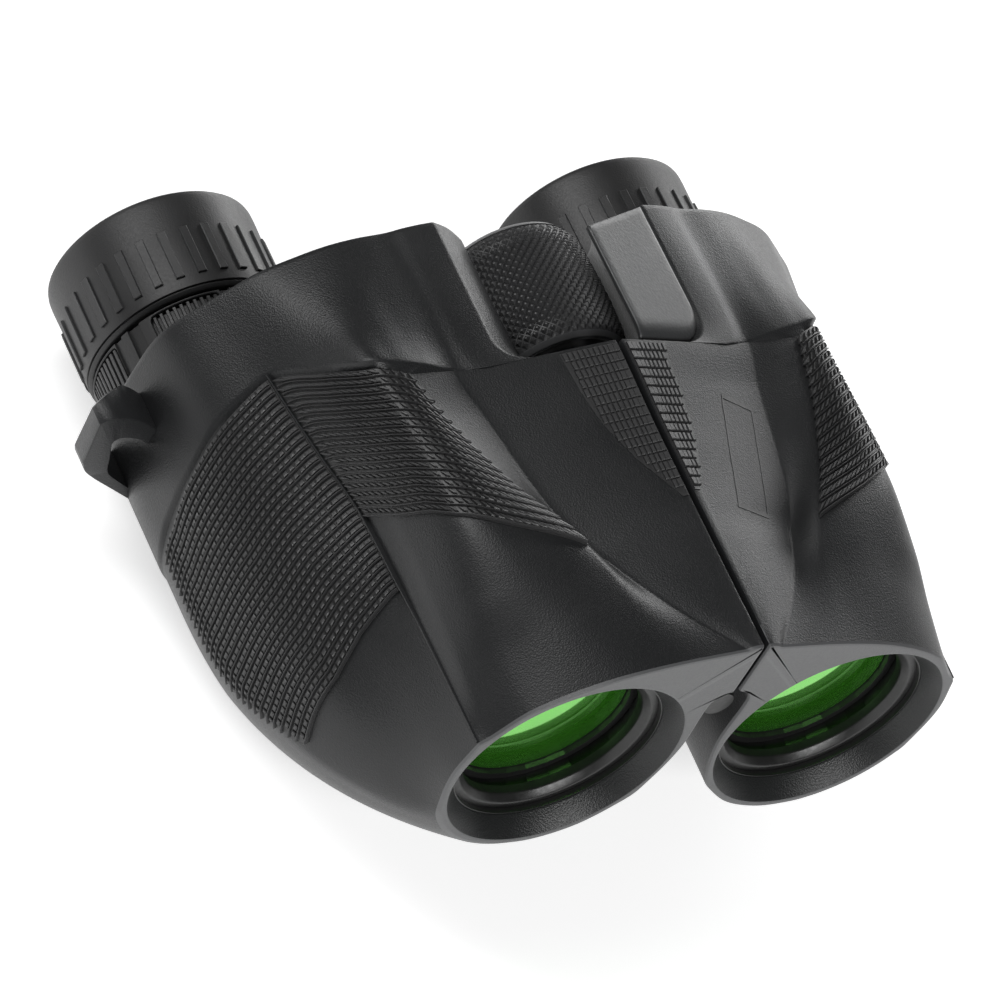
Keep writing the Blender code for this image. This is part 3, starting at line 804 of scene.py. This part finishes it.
def knurled_sleeve(material):
    """Crowned rubber sleeve cut into small blunt pyramids."""
    low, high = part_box("focus_wheel_grip")
    y0, y1 = depths(low, high)
    count, rows = 52, 14                  # pyramids round the sleeve and along it
    shell = Shell()

    def spot(u, v, height):
        v = min(max(v, 0.0), rows)
        y = y0 + (y1 - y0) * v / rows
        across = 2 * v / rows - 1
        crown = 11.0 - 0.42 * across ** 2 - 0.25 * across ** 8
        taper = min(v, rows - v, 0.8) / 0.8
        return around((0, HINGE_Z), 2 * math.pi * u / count, crown + height * taper, y)
    for i in range(count * 2):
        for j in range(1 - i % 2, rows * 2 + 1, 2):
            base = shell.grid([[spot((i + a * k) / 2, (j + b * k) / 2, h)
                                for a, b in ((1, 0), (0, 1), (-1, 0), (0, -1))]
                               for k, h in ((1, 0.0), (0.24, 0.44))], wrap=True)
            shell.faces.append(tuple(base + 4 + c for c in range(4)))
    obj = shell.object("wheel_knurled_sleeve", LEFT, 10.0)
    core = turned("wheel_sleeve_core", rounded([(y0, 9.2), (y0, 10.35), (y0 + 1.6, 10.8),
                                                (y1 - 1.6, 10.8), (y1, 10.35), (y1, 9.2)], 0.1),
                  (0, HINGE_Z))
    finish_piece(core, "focus_wheel", material, "wheel")
    return finish_piece(obj, "focus_wheel", material, "wheel", "focus_wheel_grip")


def wheel_hub(material):
    low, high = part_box("focus_hub")
    a, b = depths(low, high)
    profile = rounded([(a, 0.01), (a, 7.9), (a + 0.7, 8.3), (a + 0.7, 8.8), (a, 9.2), (a, 9.9),
                       (a + 0.75, 10.5), (a + 0.75, 8.8), (b - 0.75, 8.8), (b - 0.75, 10.5),
                       (b, 9.9), (b, 9.2), (b - 0.7, 8.8), (b - 0.7, 8.3), (b, 7.9), (b, 0.01)],
                      [0, 0.2, 0.2, 0.2, 0.2, 0.1, 0.1, 0, 0, 0.1, 0.1, 0.2, 0.2, 0.2, 0.2, 0])
    obj = turned("wheel_hub_rims", profile, (0, HINGE_Z))
    return finish_piece(obj, "focus_wheel", material, "wheel", "focus_hub")


RIB_COUNT, RIB_HALF = 30, 0.62


def eyecup(side, material):
    """Twist-up cup: smooth rounded rim, a ring of raised ribs and a plain skirt."""
    name = NAME[side] + "_eyecup"
    low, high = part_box(name)
    a, b = depths(low, high)
    r = half_height(low, high)
    profile = rounded([(a, r - 0.55), (a, 13.4), (a + 12.4, 13.4), (a + 12.4, 10.6),
                       (b - 0.8, 11.9), (b, 13.4), (b, r - 0.1), (b - 1.6, r - 0.02),
                       (b - 6.0, r - 0.12), (a + 0.95, r - 0.12), (a + 0.9, r - 0.5),
                       (a + 0.62, r - 0.5), (a + 0.57, r - 0.12)],
                      [0.3, 0.2, 0.2, 0.6, 0.6, 0.5, 0.9, 0.6, 0.6, 0.1, 0.05, 0.05, 0.1])
    body = turned(name + "_shell", profile, EYEPIECE, side, 128)
    finish_piece(body, name, material, "rubber", name)
    shell = Shell()
    half = RIB_HALF / r
    for k in range(RIB_COUNT):
        mid = 2 * math.pi * (k + 0.5) / RIB_COUNT

        def ring(shrink, radius, y0=a + 2.6, y1=a + 10.6):
            x = half - shrink / r
            ang = np.array([mid - x, mid + x, mid + x, mid - x])
            yy = np.array([y0 + shrink, y0 + shrink, y1 - shrink, y1 - shrink])
            return around(EYEPIECE, ang, radius, yy)
        shell.pad([ring(0, r - 0.4), ring(0, r + 0.16), ring(0.1, r + 0.25)])
    ribs = shell.object(name + "_ribs", side, 25.0)
    return finish_piece(ribs, name, material, "rubber")


WINDOW_MIDS = (-68.8, -3.3, 62.2, 127.7, 193.2)      # degrees round an eyepiece
WINDOW_HALF = 20.3
WINDOW_SPAN = (-23, 41)         # degrees about a window's middle that it and its bar take up
WINDOW_RIBS, WINDOW_RIB_PITCH, WINDOW_RIB_HALF = 10, 3.9, 0.27
BAR = ((0.2, 0), (0.4, -0.35), (5.8, -0.35), (6.1, 0.1), (8.5, 0.1), (10.9, 0.1),
       (11.2, -0.35), (14.5, -0.35), (18.3, -0.35))  # degrees past a window, height in mm
RING_LIP = 0.35                 # the sleeve starts this far behind the ring's front


def window_edge(offset, rear):
    """Front edge of the sleeve above a window: straight, with rounded corners."""
    share = min(abs(offset) / WINDOW_HALF, 1.0)
    return rear - 0.35 - 0.8 * (1 - (1 - share ** 8) ** 0.3)


def sleeve_outline(front, rear, r):
    """Angles round the sleeve, with its front y and outer radius at each."""
    plain = front + RING_LIP
    stations = {round(d, 3): (plain, r) for d in np.arange(-90.0, 270.0, 2.0)}
    for mid in WINDOW_MIDS:
        stations = {d: v for d, v in stations.items()
                    if not WINDOW_SPAN[0] < d - mid < WINDOW_SPAN[1]}
        for off in (-WINDOW_HALF - 0.2, WINDOW_HALF + 18.6):
            stations[mid + off] = (plain, r)
        for off in np.linspace(-WINDOW_HALF, WINDOW_HALF, 33):
            stations[mid + off] = (window_edge(off, rear), r)
        for off, lift in BAR:
            stations[mid + WINDOW_HALF + off] = (plain, r + lift)
    degrees = sorted(stations)
    return (np.radians(degrees), np.array([stations[d][0] for d in degrees]),
            np.array([stations[d][1] for d in degrees]))


def grip_ring(side, material):
    """Ring under an eyecup: windows of fine ribs, with a raised bar between them."""
    node = "diopter_ring" if side == RIGHT else "left_base_ring"
    body = "diopter" if side == RIGHT else BODY[side]
    low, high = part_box(node)
    a, b = depths(low, high)
    r = half_height(low, high)
    core = turned(node + "_core", rounded([(a, 12.35), (b - 0.6, 12.35), (b - 0.6, r - 0.7),
                                           (a, r - 0.7)], 0.15), EYEPIECE, side, 128)
    finish_piece(core, body, material, "rubber", node)
    angles, start, out = sleeve_outline(a, b, r)
    rows = [(start, r - 0.8), (start, out - 0.12), (start + 0.12, out), (b - 0.15, out),
            (b, out - 0.15), (b, 12.4), (b - 0.7, 12.4), (start, r - 0.8)]
    shell = Shell()
    shell.grid([around(EYEPIECE, angles, rr, yy) for yy, rr in rows], wrap=True)
    half = WINDOW_RIB_HALF / r
    for mid in WINDOW_MIDS:
        for k in range(WINDOW_RIBS):
            off = (k - (WINDOW_RIBS - 1) / 2) * WINDOW_RIB_PITCH
            centre, top = math.radians(mid + off), window_edge(off, b) - 0.25

            def ring(shrink, radius):
                x = half - shrink / r
                return around(EYEPIECE, centre + np.array([-x, x, x, -x]), radius,
                              np.array([a + 0.5, a + 0.5, top, top]))
            shell.pad([ring(0, r - 0.8), ring(0, r - 0.25), ring(0.1, r - 0.12)])
    obj = shell.object(node + "_windows", side, 25.0)
    return finish_piece(obj, body, material, "rubber")


# ---------------------------------------------------------------- objective, plate, lug

def objective(side, m):
    name = NAME[side]
    cell = "focus_carriage" if side == LEFT else "right_objective"
    ring = turned(name + "_bezel", rounded(
        [(3.75, 14.9), (3.72, 13.84), (4.7, 12.9), (5.9, 12.82), (5.9, 14.9)],
        [0, 0.25, 0.2, 0, 0]), OBJECTIVE, side, 128)
    finish_piece(ring, BODY[side], m["gloss"], "inner_black", name + "_objective_ring")
    band = turned(name + "_dark_band", [(2.86, 15.03), (2.86, 14.85), (3.7, 14.85), (3.7, 15.03)],
                  OBJECTIVE, side, 128)
    finish_piece(band, BODY[side], m["inner"], "inner_black")
    front, rear, r, steps = 7.5, 12.6, 12.5, 14
    t = np.linspace(0, 1, steps + 1)
    face = [(front + 1.1 * k * k, max(r * k, 0.01)) for k in t]
    back = [(rear - 0.9 * k * k, max(r * k, 0.01)) for k in t[::-1]]
    lens = turned(name + "_front_glass", face + back, OBJECTIVE, side, 96, 40.0)
    finish_piece(lens, cell, m["green"], "lens_green", name + "_objective_lens")


PLATE_LEFT, PLATE_RIGHT, PLATE_CORNER = 4.6, 16.3, 4.4
PLATE_FRONT, PLATE_REAR, PLATE_REAR_SLOPE = 51.65, 71.0, 0.36
PLATE_THICK = 0.6


def plate_point(x, v):
    """Top of the cover plate at x, a share v of the way from its front to its rear."""
    bend = max(x - (PLATE_RIGHT - PLATE_CORNER), 0.0)
    front = PLATE_FRONT + PLATE_CORNER - math.sqrt(max(PLATE_CORNER ** 2 - bend ** 2, 0.0))
    rear = PLATE_REAR + (x - PLATE_LEFT) * PLATE_REAR_SLOPE
    y = front + (rear - front) * v
    roll = max(0.0, 1 - (y - front) / 3.0)
    z = flat_z(x) + 0.38 - 1.5 * (1 - math.sqrt(max(0.0, 1 - roll ** 2.4)))
    edge = min(x - PLATE_LEFT, PLATE_RIGHT - x, rear - y)
    return x, y, z - 0.2 * max(0.0, 1 - edge / 0.25) ** 2


def cover_plate(material):
    """Satin plate over the focus wheel's edge; its front end rolls down to the body."""
    xs = np.concatenate([[PLATE_LEFT, PLATE_LEFT + 0.12, PLATE_LEFT + 0.4],
                         np.linspace(PLATE_LEFT + 1.2, PLATE_RIGHT - 1.2, 14),
                         [PLATE_RIGHT - 0.5, PLATE_RIGHT - 0.15, PLATE_RIGHT]])
    vs = np.concatenate([[0, 0.008, 0.03], np.linspace(0.06, 0.94, 30), [0.985, 1.0]])
    high = np.array([[plate_point(x, v) for x in xs] for v in vs])
    shell = Shell()
    shell.slab(high - (0, 0, PLATE_THICK), high)
    obj = shell.object("cover_plate_skin", LEFT, 40.0)
    return finish_piece(obj, BODY[LEFT], material, "satin", "cover_plate")


def smooth_pairs(points, count):
    """Smooth line through the points, the same share of it between each two of them."""
    at = np.linspace(0, len(points) - 1, count)
    return np.stack([curve([(i, p[k]) for i, p in enumerate(points)], at) for k in (0, 1)], -1)


ROLL_POINTS, UNDER_POINTS = 36, 24


def strap_lug(side, material):
    """Chunky strap loop, its ends running into the housing."""
    low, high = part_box(NAME[side] + "_strap_lug")
    a, b = depths(low, high)
    roll = [[(50.0, -33.5), (53.0, -31.0), (55.0, -29.5), (56.9, -28.4), (58.7, -27.7),
             (60.4, -27.5), (61.7, -27.8), (62.7, -28.6)],
            [(50.0, -36.3), (53.2, -34.4), (54.8, -33.3), (56.4, -32.7), (57.7, -32.5),
             (58.5, -32.8), (58.8, -33.3), (58.8, -33.9)]]
    under = [[(62.1, -37.2), (61.0, -39.3), (59.3, -40.9), (55.0, -44.2), (50.0, -48.0)],
             [(57.8, -37.2), (57.5, -38.8), (56.9, -40.2), (54.3, -42.6), (49.6, -46.3)]]
    outer, inner = (np.concatenate([smooth_pairs(roll[k], ROLL_POINTS),
                                    smooth_pairs(under[k], UNDER_POINTS)]) for k in (0, 1))
    depth = np.clip(69.4 + (62.9 - outer[:, 0]) * 0.52, a + 3.0, b)
    rows = []
    for t, y in ((0, 0.3), (0.02, 0.1), (0.07, 0.0), (0.93, 0.0), (1, 0.3)):
        line = outer * (1 - t) + inner * t
        rows.append(np.stack([line[:, 0], np.full(len(line), a + y), line[:, 1]], -1))
    for t, y in ((1, 0.3), (0.93, 0.0), (0.07, 0.0), (0, 0.4)):
        line = outer * (1 - t) + inner * t
        rows.append(np.stack([line[:, 0], depth - y, line[:, 1]], -1))
    shell = Shell()
    shell.pad(np.transpose(np.array(rows), (1, 0, 2)))
    obj = shell.object(NAME[side] + "_lug_loop", side, 40.0)
    return finish_piece(obj, BODY[side], material, "housing", NAME[side] + "_strap_lug")


LABEL_CORNERS = [(14.2, 42.6), (19.0, 40.7), (12.4, 21.9), (7.4, 23.4)]
LABEL_LINE = 0.75               # towards the middle, at the corners


def label_outline(material):
    """Thin raised frame on the left half's flat, with nothing in it."""
    shell = Shell()
    middle = np.mean(LABEL_CORNERS, axis=0)
    ring_out = [np.array(c) for c in LABEL_CORNERS]
    ring_in = [c + (middle - c) / np.hypot(*(middle - c)) * LABEL_LINE for c in ring_out]

    def on_skin(p, height):
        s = column_where(0, p[0], p[1], 0, S_VALLEY)
        return raised(p[1], s, height)

    def loop(points):
        out = []
        for p, q in zip(points, points[1:] + points[:1]):
            out += [p + (q - p) * t for t in np.linspace(0, 1, 10, endpoint=False)]
        return out
    outer, inner = loop(ring_out), loop(ring_in)
    rows = [[on_skin(p, h) for p in line] for line, h in
            ((outer, -0.1), (outer, 0.05), (inner, 0.05), (inner, -0.1), (outer, -0.1))]
    shell.grid(rows, wrap=True)
    obj = shell.object("left_blank_label_frame", LEFT, 40.0)
    return finish_piece(obj, BODY[LEFT], material, "housing")


SLOT_FINISH = {"housing": "housing", "grip": "grip", "wheel": "wheel", "rubber": "rubber",
               "satin": "satin", "inner_black": "inner", "lens_green": "green",
               "lens_clear": "clear", "steel": "steel"}


def dress_nodes(m):
    """Better materials on the CAD nodes that stay showing."""
    for part in frame["record"]["subparts"]:
        node = NODES[part["node"]]
        finish = m[SLOT_FINISH[part["material_slot"]]]
        for slot in node.material_slots:
            slot.material = finish


def build():
    m = make_materials()
    dress_nodes(m)
    for side in (LEFT, RIGHT):
        housing(side, m["housing"], m["rim"])
        grips(side, m)
        eyecup(side, m["rubber"])
        grip_ring(side, m["rubber"])
        objective(side, m)
    strap_lug(RIGHT, m["housing"])
    knurled_sleeve(m["wheel"])
    wheel_hub(m["rim"])
    cover_plate(m["satin"])
    label_outline(m["inner"])


# ---------------------------------------------------------------- floor, light, camera

FLOOR_GAP = 0.0002              # metres between the lowest CAD point and the floor


def stage():
    low = CAD_BOX[0][2]
    bm = bmesh.new()
    bmesh.ops.create_grid(bm, x_segments=1, y_segments=1, size=3.0)
    mesh = bpy.data.meshes.new("floor")
    bm.to_mesh(mesh)
    bm.free()
    floor = bpy.data.objects.new("floor", mesh)
    floor.location.z = low - FLOOR_GAP
    bpy.context.scene.collection.objects.link(floor)
    g = Graph("floor_paper", 0.8, Emission_Color=(1.0, 1.0, 1.0, 1.0), Emission_Strength=0.60)
    g.colour(g.ramp(g.noise(12.0), 0.3, 0.7, (0.86, 0.86, 0.86), (0.88, 0.88, 0.88)))
    mesh.materials.append(g.material)


def area_light(name, direction, distance, size, power, target=(0, 0, 0.03)):
    data = bpy.data.lights.new(name, "AREA")
    data.shape = "RECTANGLE"
    data.size, data.size_y = size
    data.energy = power
    light = bpy.data.objects.new(name, data)
    way = Vector(direction).normalized()
    light.location = Vector(target) + way * distance
    light.rotation_euler = way.to_track_quat("Z", "Y").to_euler()
    bpy.context.scene.collection.objects.link(light)
    return light


def lights():
    world = bpy.data.worlds.new("studio")
    bpy.context.scene.world = world
    world.use_nodes = True
    background = world.node_tree.nodes["Background"]
    background.inputs["Color"].default_value = (1, 1, 1, 1)
    background.inputs["Strength"].default_value = 0.06
    bpy.context.scene.view_settings.view_transform = "Standard"
    area_light("key", (0.78, 0.60, 0.24), 0.8, (0.5, 0.35), 2.7)
    area_light("top", (-0.48, 0.42, 0.80), 1.0, (0.4, 0.9), 6.0)
    area_light("front", (-0.1, -0.80, 0.55), 1.0, (0.6, 0.3), 5.5)


LENS, SENSOR_WIDTH = 222.92, 36.0
CAMERA_AT = (-0.45298, -0.40769, 0.62762)
CAMERA_RIGHT = (0.84420, -0.38427, 0.37370)
CAMERA_UP = (0.09368, 0.79222, 0.60300)
CAMERA_BACK = (-0.52777, -0.47405, 0.70479)


def camera():
    data = bpy.data.cameras.new("camera")
    data.lens, data.sensor_width = LENS, SENSOR_WIDTH
    data.clip_start = 0.05
    obj = bpy.data.objects.new("camera", data)
    turn = Matrix((CAMERA_RIGHT, CAMERA_UP, CAMERA_BACK)).transposed().to_4x4()
    obj.matrix_world = Matrix.Translation(CAMERA_AT) @ turn
    bpy.context.scene.collection.objects.link(obj)
    bpy.context.scene.camera = obj


build()
stage()
lights()
camera()


bpy.context.view_layer.update()
